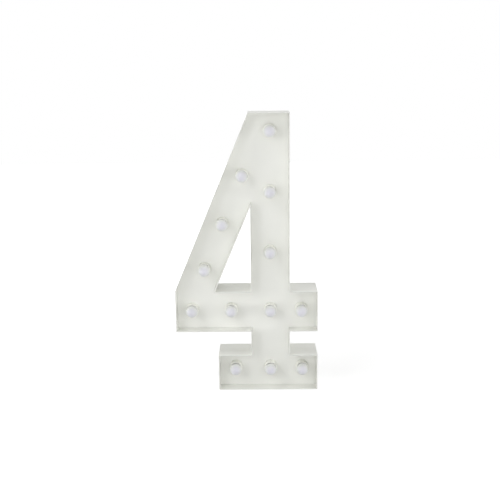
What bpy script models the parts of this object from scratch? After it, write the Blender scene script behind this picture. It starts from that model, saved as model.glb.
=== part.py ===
# A free-standing light-up numeral four. Mitred boards make an open-fronted tray in the numeral's outline.
# A panel set back in the tray carries the lampholders, and the wiring runs behind it under a screwed cover.
# The numeral faces -Y and stands on its foot at z = 0, and x = 0 and y = 0 are the middle of its box.

import math

import bmesh
import bpy
from mathutils import Vector

# Outline of the numeral, seen from the front
NUMERAL_HEIGHT = 1.000
FOOT_HEIGHT = 0.132
NECK_HEIGHT = 0.0885
BAR_HEIGHT = 0.148
BAR_LEFT_HEIGHT = 0.1525
STEM_WIDTH = 0.1395
BAR_LEFT_REACH = 0.2705
RIGHT_REACH = 0.0995
FOOT_LEFT_REACH = 0.119
TOP_LEFT_REACH = 0.005
DIAGONAL_WIDTH = 0.144

# Boards
WALL_THICKNESS = 0.003
WALL_ARRIS = 0.0008
PANEL_SETBACK = 0.046
PANEL_THICKNESS = 0.009
COVER_THICKNESS = 0.005
COVER_SETBACK = 0.008
SEAT_GAP = 0.0003

# Bulbs: a globe on a short neck, with an Edison screw cap
GLOBE_DIAMETER = 0.043
GLOBE_SETBACK = 0.005
NECK_DIAMETER = 0.0244
NECK_FILLET = 0.010
NECK_LENGTH = 0.0023
CAP_DIAMETER = 0.0262
CAP_LENGTH = 0.0200
INSULATOR_LENGTH = 0.0045
CONTACT_DIAMETER = 0.0095
CONTACT_LENGTH = 0.0015
GLOBE_STEPS = 6
FILLET_STEPS = 2
ROUND_SEGMENTS = 16
PIN_SEGMENTS = 12
SCREW_HOLE_SEGMENTS = 8

# Lampholders: a skirt up to the globe's back, a body through the panel, and a saddle for the cable
SKIRT_DROP = 0.012
SKIRT_MOUTH_GAP = 0.003
SKIRT_LIP = 0.002
SKIRT_SEAT = 0.004
HOLDER_FIT = 0.0005
BEAD_RISE = 0.0015
BEAD_LENGTH = 0.0030
THREAD_FIT = 0.0006
HOLDER_BASE = 0.006
SADDLE_DIAMETER = 0.030

# Places of the bulbs
BAR_LEFT_INSET = 0.058
BAR_RIGHT_INSET = 0.058
FOOT_LEFT_INSET = 0.0615
FOOT_RIGHT_INSET = 0.055
TOP_INSET = 0.0640
BAR_BULB_SHARE = 0.508
FOOT_BULB_SHARE = 0.583
STEM_BULB_SHARES = (0.330, 0.668)
DIAGONAL_BULB_SHARES = ((0.117, 0.513), (0.378, 0.490), (0.652, 0.482))

# Wiring
CABLE_DIAMETER = 0.005
CABLE_BEND = 0.020
CABLE_TAIL = 0.012
CABLE_TURN_STEPS = 4
CABLE_STRAIGHT_SHARE = 0.02

# Blocks that carry the rear cover
BLOCK_SIDE = 0.018
PILOT_DIAMETER = 0.0025
SCREW_HOLE_DIAMETER = 0.0045
DIAGONAL_BLOCK_SHARE = 0.50
STEM_BLOCK_SHARE = 0.50

# Power inlet with its switch
SOCKET_WIDTH = 0.0244
SOCKET_HEIGHT = 0.0164
SOCKET_CORNER = 0.004
SOCKET_DEPTH = 0.016
PIN_WIDTH = 0.002
PIN_HEIGHT = 0.004
PIN_LENGTH = 0.0135
PIN_SPREAD = 0.007
PIN_RISE = 0.002
INLET_SIDE_WALL = 0.0016
INLET_END_WALL = 0.0045
INLET_DEPTH = 0.028
INLET_EDGE_GAP = 0.006
INLET_CABLE_ROOM = 0.0315
FLANGE_MARGIN = 0.0018
FLANGE_THICKNESS = 0.0025
ROCKER_LENGTH = 0.018
ROCKER_WIDTH = 0.013
ROCKER_PROUD = 0.0020
ROCKER_DISH = 0.0015
ROCKER_SKIRT = 0.004
ROCKER_HEEL = 0.006
ROCKER_HEEL_WIDTH = 0.006
ROCKER_PIVOT_DEPTH = 0.003
ROCKER_THROW_DEG = 14.0
ROCKER_FIT = 0.0005
PIVOT_PIN_DIAMETER = 0.0024
PIVOT_PIN_LENGTH = 0.0014

# How far a cutter runs past what it cuts, and a joined piece into its neighbour
OVERRUN = 0.001

# Points nearer than this are welded, and directions within this angle count as one
WELD_DISTANCE = 0.00001
ALIGNED_DEG = 2.0

# Sizes that follow
NUMERAL_WIDTH = BAR_LEFT_REACH + STEM_WIDTH + RIGHT_REACH
LEFT = -NUMERAL_WIDTH / 2
RIGHT = NUMERAL_WIDTH / 2
STEM_LEFT = LEFT + BAR_LEFT_REACH
STEM_RIGHT = STEM_LEFT + STEM_WIDTH
STEM_MIDDLE = STEM_LEFT + STEM_WIDTH / 2
FOOT_LEFT = STEM_LEFT - FOOT_LEFT_REACH
BAR_UNDER = FOOT_HEIGHT + NECK_HEIGHT
BAR_TOP = BAR_UNDER + BAR_HEIGHT
BAR_BULBS_Z = BAR_UNDER + BAR_BULB_SHARE * BAR_HEIGHT
FOOT_BULBS_Z = FOOT_BULB_SHARE * FOOT_HEIGHT
DIAGONAL_START = BAR_UNDER + BAR_LEFT_HEIGHT
DIAGONAL_RISE = NUMERAL_HEIGHT - DIAGONAL_START
DIAGONAL_LEAN = (BAR_LEFT_REACH - TOP_LEFT_REACH) / DIAGONAL_RISE
COUNTER_LEFT = LEFT + DIAGONAL_WIDTH + (BAR_TOP - DIAGONAL_START) * DIAGONAL_LEAN
COUNTER_TOP = BAR_TOP + (STEM_LEFT - COUNTER_LEFT) / DIAGONAL_LEAN

GLOBE_RADIUS = GLOBE_DIAMETER / 2
NECK_RADIUS = NECK_DIAMETER / 2
FILLET_DROP = math.sqrt((GLOBE_RADIUS + NECK_FILLET) ** 2 - (NECK_RADIUS + NECK_FILLET) ** 2)
CAP_START = FILLET_DROP + NECK_LENGTH
CAP_END = CAP_START + CAP_LENGTH + INSULATOR_LENGTH + CONTACT_LENGTH
SADDLE_DEPTH = CABLE_DIAMETER + 2 * SEAT_GAP
HOLDER_END = CAP_END + SEAT_GAP + HOLDER_BASE + SADDLE_DEPTH
COVER_REAR_DEPTH = GLOBE_SETBACK + HOLDER_END + INLET_CABLE_ROOM + INLET_DEPTH
TRAY_DEPTH = COVER_REAR_DEPTH + COVER_SETBACK
BULB_PROUD = max(GLOBE_RADIUS - GLOBE_SETBACK, 0.0)

REAR = (TRAY_DEPTH + BULB_PROUD) / 2
FRONT = REAR - TRAY_DEPTH
GLOBE_Y = FRONT + GLOBE_SETBACK
PANEL_FRONT = FRONT + PANEL_SETBACK
PANEL_BACK = PANEL_FRONT + PANEL_THICKNESS
COVER_REAR = REAR - COVER_SETBACK
COVER_FRONT = COVER_REAR - COVER_THICKNESS
CABLE_Y = GLOBE_Y + HOLDER_END - SEAT_GAP - CABLE_DIAMETER / 2

MOUTH_RADIUS = math.sqrt(GLOBE_RADIUS**2 - SKIRT_DROP**2) + SKIRT_MOUTH_GAP
SKIRT_RADIUS = MOUTH_RADIUS + SKIRT_LIP
HOLDER_RADIUS = SKIRT_RADIUS - SKIRT_SEAT
BEAD_RADIUS = HOLDER_RADIUS + BEAD_RISE
BORE_RADIUS = CAP_DIAMETER / 2 + THREAD_FIT
PANEL_HOLE_RADIUS = HOLDER_RADIUS + HOLDER_FIT

INLET_WIDTH = SOCKET_WIDTH + 2 * INLET_SIDE_WALL
FLANGE_WIDTH = INLET_WIDTH + 2 * FLANGE_MARGIN
INLET_X = FOOT_LEFT + WALL_THICKNESS + INLET_EDGE_GAP + FLANGE_WIDTH / 2
FOOT_MIDDLE = FOOT_HEIGHT / 2

ALIGNED = math.cos(math.radians(ALIGNED_DEG))

# Finishes: name, colour, roughness and metallic value
PAINT = ("white_paint", (0.80, 0.80, 0.77), 0.55, 0.0)
MILKY = ("milky_globe", (0.82, 0.81, 0.86), 0.25, 0.0)
WHITE_PLASTIC = ("white_plastic", (0.75, 0.75, 0.72), 0.45, 0.0)
BLACK_PLASTIC = ("black_plastic", (0.03, 0.03, 0.03), 0.40, 0.0)
CABLE_SHEATH = ("cable_sheath", (0.70, 0.70, 0.68), 0.50, 0.0)
SOFTWOOD = ("softwood", (0.62, 0.46, 0.28), 0.70, 0.0)


def start_scene():
    """An empty scene with a collection for the numeral and one for the shapes that cut it."""
    for obj in list(bpy.data.objects):
        bpy.data.objects.remove(obj)
    for name in ("marquee_numeral", "cutters"):
        bpy.context.scene.collection.children.link(bpy.data.collections.new(name))


def material(finish):
    """The Principled material of a finish, made once."""
    name, colour, roughness, metallic = finish
    if name in bpy.data.materials:
        return bpy.data.materials[name]
    made = bpy.data.materials.new(name)
    made.use_nodes = True
    shader = made.node_tree.nodes["Principled BSDF"]
    shader.inputs["Base Color"].default_value = (*colour, 1.0)
    shader.inputs["Roughness"].default_value = roughness
    shader.inputs["Metallic"].default_value = metallic
    return made


def placed(name, mesh, finish, location=(0.0, 0.0, 0.0), turn=(0.0, 0.0, 0.0)):
    """An object of the numeral's collection, with its own material."""
    obj = bpy.data.objects.new(name, mesh)
    obj.location = location
    obj.rotation_euler = turn
    if not mesh.materials:
        mesh.materials.append(material(finish))
    bpy.data.collections["marquee_numeral"].objects.link(obj)
    return obj


def cutter(name, mesh):
    """A shape for a Boolean, kept out of renders."""
    obj = bpy.data.objects.new(name, mesh)
    obj.hide_render = True
    obj.display_type = "WIRE"
    bpy.data.collections["cutters"].objects.link(obj)
    return obj


def combine(obj, tool, operation):
    """Cuts the tool from the object, or joins it on."""
    boolean = obj.modifiers.new(tool.name, "BOOLEAN")
    boolean.operation = operation
    boolean.solver = "EXACT"
    boolean.object = tool


def baked(obj):
    """The object's mesh with its modifiers applied, and the object removed."""
    graph = bpy.context.evaluated_depsgraph_get()
    graph.update()
    mesh = bpy.data.meshes.new_from_object(obj.evaluated_get(graph))
    mesh.name = obj.name
    bpy.data.objects.remove(obj)
    return mesh


def smooth(mesh, angle_deg=40.0):
    """Smooth shading that keeps edges sharper than the angle."""
    mesh.shade_smooth()
    mesh.set_sharp_from_angle(angle=math.radians(angle_deg))
    return mesh


def box_mesh(name, low, high):
    """A box between two corners."""
    bm = bmesh.new()
    bmesh.ops.create_cube(bm, size=1.0)
    low, high = Vector(low), Vector(high)
    bmesh.ops.scale(bm, vec=high - low, verts=bm.verts)
    bmesh.ops.translate(bm, vec=(low + high) / 2, verts=bm.verts)
    mesh = bpy.data.meshes.new(name)
    bm.to_mesh(mesh)
    bm.free()
    return mesh


def prism_mesh(name, ring, reach):
    """A closed prism: a ring of points, pushed along the vector reach."""
    bm = bmesh.new()
    face = bm.faces.new([bm.verts.new(point) for point in ring])
    pushed = bmesh.ops.extrude_face_region(bm, geom=[face])["geom"]
    bmesh.ops.translate(bm, vec=reach, verts=[v for v in pushed if isinstance(v, bmesh.types.BMVert)])
    bmesh.ops.recalc_face_normals(bm, faces=bm.faces)
    mesh = bpy.data.meshes.new(name)
    bm.to_mesh(mesh)
    bm.free()
    return mesh


def turned_mesh(name, profile, segments=ROUND_SEGMENTS):
    """A turned shape from (radius, height) points that run down its outer side."""
    line = bpy.data.meshes.new(name)
    edges = [(i, i + 1) for i in range(len(profile) - 1)]
    line.from_pydata([(radius, 0.0, height) for radius, height in profile], edges, [])
    obj = bpy.data.objects.new(name, line)
    bpy.data.collections["cutters"].objects.link(obj)
    screw = obj.modifiers.new("turn", "SCREW")
    screw.axis = "Z"
    screw.steps = segments
    screw.render_steps = segments
    screw.use_merge_vertices = True
    screw.merge_threshold = WELD_DISTANCE
    return baked(obj)


def sheet_mesh(name, loops, thickness):
    """A flat sheet from closed loops of (x, z) points: the first is its edge, the others are its holes."""
    curve = bpy.data.curves.new(name, "CURVE")
    curve.dimensions = "2D"
    curve.fill_mode = "BOTH"
    curve.extrude = thickness / 2
    for loop in loops:
        spline = curve.splines.new("POLY")
        spline.points.add(len(loop) - 1)
        for point, (x, z) in zip(spline.points, loop):
            point.co = (x, z, 0.0, 1.0)
        spline.use_cyclic_u = True
    obj = bpy.data.objects.new(name, curve)
    bpy.data.collections["cutters"].objects.link(obj)
    mesh = baked(obj)
    bm = bmesh.new()
    bm.from_mesh(mesh)
    bmesh.ops.remove_doubles(bm, verts=bm.verts, dist=WELD_DISTANCE)
    bm.to_mesh(mesh)
    bm.free()
    return mesh


def circle(x, z, radius, segments=ROUND_SEGMENTS):
    """Points of a round hole."""
    angles = [2 * math.pi * i / segments for i in range(segments)]
    return [(x + radius * math.cos(angle), z + radius * math.sin(angle)) for angle in angles]


def rectangle(x, z, width, height):
    """Points of a rectangle about its middle."""
    sides = ((-1, -1), (1, -1), (1, 1), (-1, 1))
    return [(x + a * width / 2, z + b * height / 2) for a, b in sides]


def numeral_outline():
    """The numeral's edge, with the material on the left of each run, and the name of the wall on that run."""
    return [
        ((FOOT_LEFT, 0.0), "foot_bottom"),
        ((RIGHT, 0.0), "foot_right"),
        ((RIGHT, FOOT_HEIGHT), "foot_top_right"),
        ((STEM_RIGHT, FOOT_HEIGHT), "neck_right"),
        ((STEM_RIGHT, BAR_UNDER), "bar_under_right"),
        ((RIGHT, BAR_UNDER), "bar_right"),
        ((RIGHT, BAR_TOP), "bar_top_right"),
        ((STEM_RIGHT, BAR_TOP), "stem_right"),
        ((STEM_RIGHT, NUMERAL_HEIGHT), "top"),
        ((STEM_LEFT - TOP_LEFT_REACH, NUMERAL_HEIGHT), "diagonal"),
        ((LEFT, DIAGONAL_START), "bar_left"),
        ((LEFT, BAR_UNDER), "bar_under_left"),
        ((STEM_LEFT, BAR_UNDER), "neck_left"),
        ((STEM_LEFT, FOOT_HEIGHT), "foot_top_left"),
        ((FOOT_LEFT, FOOT_HEIGHT), "foot_left"),
    ]


def counter_outline():
    """The triangular opening's edge, also with the material on the left of each run."""
    return [
        ((COUNTER_LEFT, BAR_TOP), "counter_diagonal"),
        ((STEM_LEFT, COUNTER_TOP), "counter_stem"),
        ((STEM_LEFT, BAR_TOP), "counter_bar"),
    ]


def run_direction(loop, i):
    """Unit vector along run i of a loop."""
    return (Vector(loop[(i + 1) % len(loop)]) - Vector(loop[i])).normalized()


def left_of(along):
    """The direction a quarter turn to the left."""
    return Vector((-along.y, along.x))


def direction(heading_deg):
    """Unit vector of a heading in the numeral's plane, counted up from +X."""
    return Vector((math.cos(math.radians(heading_deg)), 0.0, math.sin(math.radians(heading_deg))))


def inset(loop, distance):
    """The loop moved into the material on its left, with its corners kept sharp."""
    moved = []
    for i, corner in enumerate(loop):
        before, after = run_direction(loop, i - 1), run_direction(loop, i)
        across = left_of(before) + left_of(after)
        moved.append(Vector(corner) + across * distance / (1.0 + before.dot(after)))
    return moved


def add_walls(named_loop):
    """One mitred board on each run of a loop, its long edges eased."""
    outer = [Vector(corner) for corner, _ in named_loop]
    inner = inset(outer, WALL_THICKNESS)
    for i, (_, name) in enumerate(named_loop):
        along = run_direction(outer, i)
        j = (i + 1) % len(outer)
        corners = []
        for end, sign in ((i, 1), (j, -1)):
            mitre = (inner[end] - outer[end]).normalized()
            trim = along * sign * SEAT_GAP / 2 / abs(along.cross(mitre))
            corners.append((outer[end] + trim, inner[end] + trim))
        ring = [corners[0][0], corners[1][0], corners[1][1], corners[0][1]]
        mesh = prism_mesh("wall_" + name, [(p.x, FRONT, p.y) for p in ring], (0.0, TRAY_DEPTH, 0.0))
        ease_long_edges(mesh, along)
        wall = placed("wall_" + name, mesh, PAINT)
        bevel = wall.modifiers.new("arris", "BEVEL")
        bevel.limit_method = "WEIGHT"
        bevel.width = WALL_ARRIS
        bevel.segments = 2


def ease_long_edges(mesh, along):
    """Marks the edges that run with the board, so that only they are rounded."""
    weights = mesh.attributes.new("bevel_weight_edge", "FLOAT", "EDGE")
    for edge in mesh.edges:
        start, end = (mesh.vertices[v].co for v in edge.vertices)
        run = (end - start).normalized()
        weights.data[edge.index].value = float(abs(run.x * along.x + run.z * along.y) > ALIGNED)


def bulb_places():
    """Where each bulb's axis crosses the panel, as (x, z), in the order in which the cable reaches them."""
    first, last = LEFT + BAR_LEFT_INSET, NUMERAL_HEIGHT - TOP_INSET
    places = {
        "foot_left": (FOOT_LEFT + FOOT_LEFT_INSET, FOOT_BULBS_Z),
        "foot_middle": (STEM_MIDDLE, FOOT_BULBS_Z),
        "foot_right": (RIGHT - FOOT_RIGHT_INSET, FOOT_BULBS_Z),
        "bar_right": (RIGHT - BAR_RIGHT_INSET, BAR_BULBS_Z),
        "bar_middle": (STEM_MIDDLE, BAR_BULBS_Z),
        "bar_inner_left": ((first + STEM_MIDDLE) / 2, BAR_BULBS_Z),
        "bar_left": (first, BAR_BULBS_Z),
    }
    for name, (rise, across) in zip(("lower", "middle", "upper"), DIAGONAL_BULB_SHARES):
        height = rise * DIAGONAL_RISE
        x = LEFT + height * DIAGONAL_LEAN + across * DIAGONAL_WIDTH
        places["diagonal_" + name] = (x, DIAGONAL_START + height)
    places["top"] = (STEM_MIDDLE, last)
    for name, share in zip(("upper", "lower"), STEM_BULB_SHARES):
        places["stem_" + name] = (STEM_MIDDLE, last - share * (last - BAR_BULBS_Z))
    return places


def cable_headings():
    """The way the cable runs through each lampholder's saddle, in degrees up from +X."""
    diagonal = 90.0 - math.degrees(math.atan(DIAGONAL_LEAN))
    headings = dict.fromkeys(bulb_places(), 0.0)
    for name in ("bar_right", "bar_middle", "bar_inner_left", "bar_left"):
        headings[name] = 180.0
    for name in ("diagonal_lower", "diagonal_middle", "diagonal_upper"):
        headings[name] = diagonal
    for name in ("stem_upper", "stem_lower"):
        headings[name] = -90.0
    return headings


def add_panel():
    """The face panel, set back in the tray, with a hole for each lampholder."""
    loops = [inset([corner for corner, _ in loop], WALL_THICKNESS + SEAT_GAP) for loop in
             (numeral_outline(), counter_outline())]
    loops += [circle(x, z, PANEL_HOLE_RADIUS) for x, z in bulb_places().values()]
    middle = (PANEL_FRONT + PANEL_BACK) / 2
    mesh = sheet_mesh("face_panel", loops, PANEL_THICKNESS)
    placed("face_panel", mesh, PAINT, (0.0, middle, 0.0), (math.pi / 2, 0.0, 0.0))


def block_places():
    """Name, middle and direction of each block: one in each square corner, and one on each long wall."""
    names = [name for _, name in numeral_outline()]
    corners = inset([corner for corner, _ in numeral_outline()], WALL_THICKNESS + SEAT_GAP)
    blocks = []
    for i, name in enumerate(names):
        before, along = run_direction(corners, i - 1), run_direction(corners, i)
        share = {"diagonal": DIAGONAL_BLOCK_SHARE, "stem_right": STEM_BLOCK_SHARE}.get(name)
        if share:
            length = (corners[(i + 1) % len(corners)] - corners[i]).length
            middle = corners[i] + along * share * length + left_of(along) * BLOCK_SIDE / 2
            blocks.append((name, middle, along))
        square_corner = before.cross(along) > ALIGNED
        if square_corner:
            middle = corners[i] + (along + left_of(along)) * BLOCK_SIDE / 2
            blocks.append((name + "_corner", middle, along))
    return blocks


def add_blocks():
    """Softwood blocks between the panel and the rear cover, each with a pilot hole."""
    depth = COVER_FRONT - PANEL_BACK - 2 * SEAT_GAP
    middle_y = (COVER_FRONT + PANEL_BACK) / 2
    pilot = circle(0.0, 0.0, PILOT_DIAMETER / 2, SCREW_HOLE_SEGMENTS)
    mesh = sheet_mesh("block", [rectangle(0.0, 0.0, BLOCK_SIDE, BLOCK_SIDE), pilot], depth)
    for name, middle, along in block_places():
        turn = (math.pi / 2, -math.atan2(along.y, along.x), 0.0)
        placed("block_" + name, mesh, SOFTWOOD, (middle.x, middle_y, middle.y), turn)


def globe_profile():
    """(radius, height) from the globe's front to its neck, with the globe's centre at zero."""
    reach = math.atan2(NECK_RADIUS + NECK_FILLET, FILLET_DROP)
    turn = math.pi - reach
    points = [(0.0, GLOBE_RADIUS)]
    for i in range(1, GLOBE_STEPS + 1):
        angle = turn * i / GLOBE_STEPS
        points.append((GLOBE_RADIUS * math.sin(angle), GLOBE_RADIUS * math.cos(angle)))
    for i in range(1, FILLET_STEPS + 1):
        angle = (math.pi / 2 - reach) * (1.0 - i / FILLET_STEPS)
        across = NECK_RADIUS + NECK_FILLET - NECK_FILLET * math.cos(angle)
        points.append((across, -FILLET_DROP + NECK_FILLET * math.sin(angle)))
    return points


def add_bulbs():
    """Golf-ball bulbs, whose origins are their globes' centres, on the line along which they come out."""
    shell_end = CAP_START + CAP_LENGTH
    profile = globe_profile() + [
        (NECK_RADIUS, -CAP_START),
        (CAP_DIAMETER / 2, -CAP_START),
        (CAP_DIAMETER / 2, -shell_end),
        (CONTACT_DIAMETER / 2, -shell_end - INSULATOR_LENGTH),
        (CONTACT_DIAMETER / 2, -CAP_END),
        (0.0, -CAP_END),
    ]
    mesh = smooth(turned_mesh("bulb", profile))
    for name, (x, z) in bulb_places().items():
        placed("bulb_" + name, mesh, MILKY, (x, GLOBE_Y, z), (math.pi / 2, 0.0, 0.0))


def add_lampholders():
    """Snap-in lampholders, whose origins are on the globes' centres; the saddle lies along the cable."""
    seat = GLOBE_Y - PANEL_FRONT + SEAT_GAP
    panel_back = GLOBE_Y - PANEL_BACK - SEAT_GAP
    bore_end = -CAP_END - SEAT_GAP
    base_end = bore_end - HOLDER_BASE
    profile = [
        (0.0, bore_end),
        (BORE_RADIUS, bore_end),
        (BORE_RADIUS, -CAP_START),
        (MOUTH_RADIUS, -CAP_START),
        (MOUTH_RADIUS, -SKIRT_DROP),
        (SKIRT_RADIUS, -SKIRT_DROP),
        (SKIRT_RADIUS, seat),
        (HOLDER_RADIUS, seat),
        (HOLDER_RADIUS, panel_back),
        (BEAD_RADIUS, panel_back - BEAD_RISE),
        (HOLDER_RADIUS, panel_back - BEAD_LENGTH),
        (HOLDER_RADIUS, base_end),
        (SADDLE_DIAMETER / 2, base_end),
        (SADDLE_DIAMETER / 2, -HOLDER_END),
        (0.0, -HOLDER_END),
    ]
    whole = bpy.data.objects.new("lampholder", turned_mesh("lampholder", profile))
    bpy.data.collections["cutters"].objects.link(whole)
    low = (-HOLDER_RADIUS, -SADDLE_DEPTH / 2, -HOLDER_END - OVERRUN)
    high = (HOLDER_RADIUS, SADDLE_DEPTH / 2, base_end)
    combine(whole, cutter("cable_channel", box_mesh("cable_channel", low, high)), "DIFFERENCE")
    mesh = smooth(baked(whole))
    headings = cable_headings()
    for name, (x, z) in bulb_places().items():
        turn = (math.pi / 2, -math.radians(headings[name]), 0.0)
        placed("lampholder_" + name, mesh, WHITE_PLASTIC, (x, GLOBE_Y, z), turn)


def cable_knots():
    """(point, direction) along the cable, from the inlet through each saddle, with turns between rows."""
    half = SADDLE_DIAMETER / 2 + 2 * SEAT_GAP
    places, headings = bulb_places(), cable_headings()
    foot_out, bar_out = places["foot_right"][0] + half, places["bar_right"][0] + half
    left_out, top_out = places["bar_left"][0] - half, places["top"][0] + half
    neck_x = STEM_RIGHT - WALL_THICKNESS - CABLE_BEND - CABLE_DIAMETER
    over_foot, under_bar = FOOT_BULBS_Z + 2 * CABLE_BEND, BAR_BULBS_Z - 2 * CABLE_BEND
    turns = {
        "foot_right": [
            (foot_out + CABLE_BEND, over_foot - CABLE_BEND, 90.0),
            (foot_out, over_foot, 180.0),
            (neck_x + CABLE_BEND, over_foot, 180.0),
            (neck_x, over_foot + CABLE_BEND, 90.0),
            (neck_x, under_bar - CABLE_BEND, 90.0),
            (neck_x + CABLE_BEND, under_bar, 0.0),
            (bar_out, under_bar, 0.0),
            (bar_out + CABLE_BEND, under_bar + CABLE_BEND, 90.0),
        ],
        "bar_left": [(left_out - CABLE_BEND, BAR_BULBS_Z + CABLE_BEND, 90.0)],
        "top": [(top_out + CABLE_BEND, NUMERAL_HEIGHT - TOP_INSET - CABLE_BEND, -90.0)],
    }
    inlet_end = Vector((INLET_X, COVER_REAR - INLET_DEPTH - SEAT_GAP, FOOT_MIDDLE))
    forward = Vector((0.0, -1.0, 0.0))
    knots = [(inlet_end, forward), (inlet_end + forward * CABLE_DIAMETER / 2, forward)]
    for name, (x, z) in places.items():
        along = direction(headings[name])
        knots += [(Vector((x, CABLE_Y, z)) + along * sign * half, along) for sign in (-1, 1)]
        for turn_x, turn_z, heading in turns.get(name, []):
            knots.append((Vector((turn_x, CABLE_Y, turn_z)), direction(heading)))
    end, along = knots[-1]
    knots.append((end + along * CABLE_TAIL, along))
    return knots


def cable_points():
    """Points of the cable's smooth line, closer together where it turns."""
    knots = cable_knots()
    points = [knots[0][0]]
    for (start, heading), (end, next_heading) in zip(knots, knots[1:]):
        span = (end - start).length
        away, toward = heading * span, next_heading * span
        bend = away.cross(end - start).length + toward.cross(end - start).length
        steps = CABLE_TURN_STEPS if bend > CABLE_STRAIGHT_SHARE * span**2 else 1
        for i in range(1, steps + 1):
            t = i / steps
            points.append(
                start * (2 * t**3 - 3 * t**2 + 1)
                + away * (t**3 - 2 * t**2 + t)
                + end * (3 * t**2 - 2 * t**3)
                + toward * (t**3 - t**2)
            )
    return points


def add_cable():
    """The two-core cable that runs from the inlet through every lampholder's saddle."""
    curve = bpy.data.curves.new("wiring_cable", "CURVE")
    curve.dimensions = "3D"
    curve.bevel_depth = CABLE_DIAMETER / 2
    curve.bevel_resolution = 2
    curve.use_fill_caps = True
    points = cable_points()
    spline = curve.splines.new("POLY")
    spline.points.add(len(points) - 1)
    for point, place in zip(spline.points, points):
        point.co = (*place, 1.0)
    curve.materials.append(material(CABLE_SHEATH))
    obj = bpy.data.objects.new("wiring_cable", curve)
    bpy.data.collections["marquee_numeral"].objects.link(obj)


def inlet_layout():
    """Heights of the inlet's middle, its socket and its rocker, and the height of its body."""
    pocket = ROCKER_WIDTH + 2 * ROCKER_FIT
    height = 3 * INLET_END_WALL + SOCKET_HEIGHT + pocket
    under = FOOT_MIDDLE - height / 2
    socket = under + INLET_END_WALL + SOCKET_HEIGHT / 2
    rocker = under + 2 * INLET_END_WALL + SOCKET_HEIGHT + pocket / 2
    return socket, rocker, height


def add_rear_cover():
    """The rear cover, screwed to the blocks, with a cut-out for the inlet."""
    loops = [inset([corner for corner, _ in loop], WALL_THICKNESS + SEAT_GAP) for loop in
             (numeral_outline(), counter_outline())]
    for _, middle, _ in block_places():
        loops.append(circle(middle.x, middle.y, SCREW_HOLE_DIAMETER / 2, SCREW_HOLE_SEGMENTS))
    height = inlet_layout()[2]
    loops.append(rectangle(INLET_X, FOOT_MIDDLE, INLET_WIDTH + 2 * SEAT_GAP, height + 2 * SEAT_GAP))
    middle = (COVER_FRONT + COVER_REAR) / 2
    mesh = sheet_mesh("rear_cover", loops, COVER_THICKNESS)
    placed("rear_cover", mesh, PAINT, (0.0, middle, 0.0), (math.pi / 2, 0.0, 0.0))


def rocker_corners():
    """The rocker's side, as (x, y) from its pivot, level, with y to the rear."""
    half = ROCKER_LENGTH / 2
    top = ROCKER_PIVOT_DEPTH + ROCKER_PROUD
    return [
        (-half, top),
        (0.0, top - ROCKER_DISH),
        (half, top),
        (half, top - ROCKER_SKIRT),
        (ROCKER_HEEL_WIDTH / 2, -ROCKER_HEEL),
        (-ROCKER_HEEL_WIDTH / 2, -ROCKER_HEEL),
        (-half, top - ROCKER_SKIRT),
    ]


def rocker_swept(angle):
    """The rocker's corners, turned about its pivot by an angle."""
    c, s = math.cos(angle), math.sin(angle)
    return [(c * x - s * y, s * x + c * y) for x, y in rocker_corners()]


def add_inlet():
    """A panel inlet with a three-pin socket, and the rocker of its switch above."""
    socket_z, rocker_z, height = inlet_layout()
    face = COVER_REAR + SEAT_GAP + FLANGE_THICKNESS
    inner = COVER_REAR - INLET_DEPTH
    half_width, half_height = INLET_WIDTH / 2, height / 2
    low = (INLET_X - half_width, inner, FOOT_MIDDLE - half_height)
    high = (INLET_X + half_width, face - FLANGE_THICKNESS / 2, FOOT_MIDDLE + half_height)
    inlet = placed("power_inlet", box_mesh("power_inlet", low, high), BLACK_PLASTIC)

    margin_x, margin_z = half_width + FLANGE_MARGIN, half_height + FLANGE_MARGIN
    low = (INLET_X - margin_x, face - FLANGE_THICKNESS, FOOT_MIDDLE - margin_z)
    high = (INLET_X + margin_x, face, FOOT_MIDDLE + margin_z)
    combine(inlet, cutter("inlet_flange", box_mesh("inlet_flange", low, high)), "UNION")

    half_x, half_z, cut = SOCKET_WIDTH / 2, SOCKET_HEIGHT / 2, SOCKET_CORNER
    outline = [(-half_x, -half_z), (half_x, -half_z), (half_x, half_z - cut), (half_x - cut, half_z),
               (cut - half_x, half_z), (-half_x, half_z - cut)]
    ring = [(INLET_X + x, face - SOCKET_DEPTH, socket_z + z) for x, z in outline]
    mesh = prism_mesh("socket_hollow", ring, (0.0, SOCKET_DEPTH + OVERRUN, 0.0))
    combine(inlet, cutter("socket_hollow", mesh), "DIFFERENCE")
    pins = ((-PIN_SPREAD, -PIN_RISE), (0.0, PIN_RISE), (PIN_SPREAD, -PIN_RISE))
    for i, (x, z) in enumerate(pins):
        root = face - SOCKET_DEPTH
        low = (INLET_X + x - PIN_WIDTH / 2, root - OVERRUN, socket_z + z - PIN_HEIGHT / 2)
        high = (INLET_X + x + PIN_WIDTH / 2, root + PIN_LENGTH, socket_z + z + PIN_HEIGHT / 2)
        combine(inlet, cutter(f"pin_{i}", box_mesh(f"pin_{i}", low, high)), "UNION")
    add_rocker(inlet, face, rocker_z)


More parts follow.
